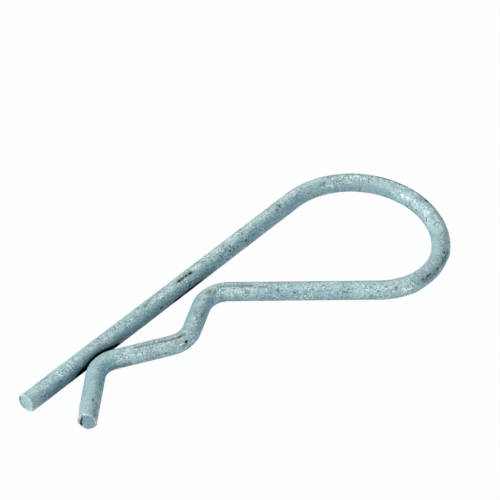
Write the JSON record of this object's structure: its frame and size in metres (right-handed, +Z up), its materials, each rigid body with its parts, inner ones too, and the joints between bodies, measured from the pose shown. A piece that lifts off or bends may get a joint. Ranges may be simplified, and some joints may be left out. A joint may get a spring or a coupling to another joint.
{
  "type": "hitch r clip pin",
  "caption": "Spring clip bent from round wire: a straight leg for the cross hole of a shaft, a round bow, and a waved leg with a flared end that grips the shaft's outside.",
  "frame": {"origin": "centre of the clip's box, on the surface that it lies on", "axes": "+X along the straight leg from its tip towards the bow, +Y from the waved leg towards the straight leg, +Z up out of the plane that the wire is bent in"},
  "size_m": [0.098, 0.0398, 0.0047],
  "materials": {
    "zinc": "galvanised: matt blue-grey zinc, finely mottled, with bright specks, dark pits and a few rub marks"
  },
  "bodies": {
    "root": {"r_clip": "zinc"}
  },
  "joints": []
}
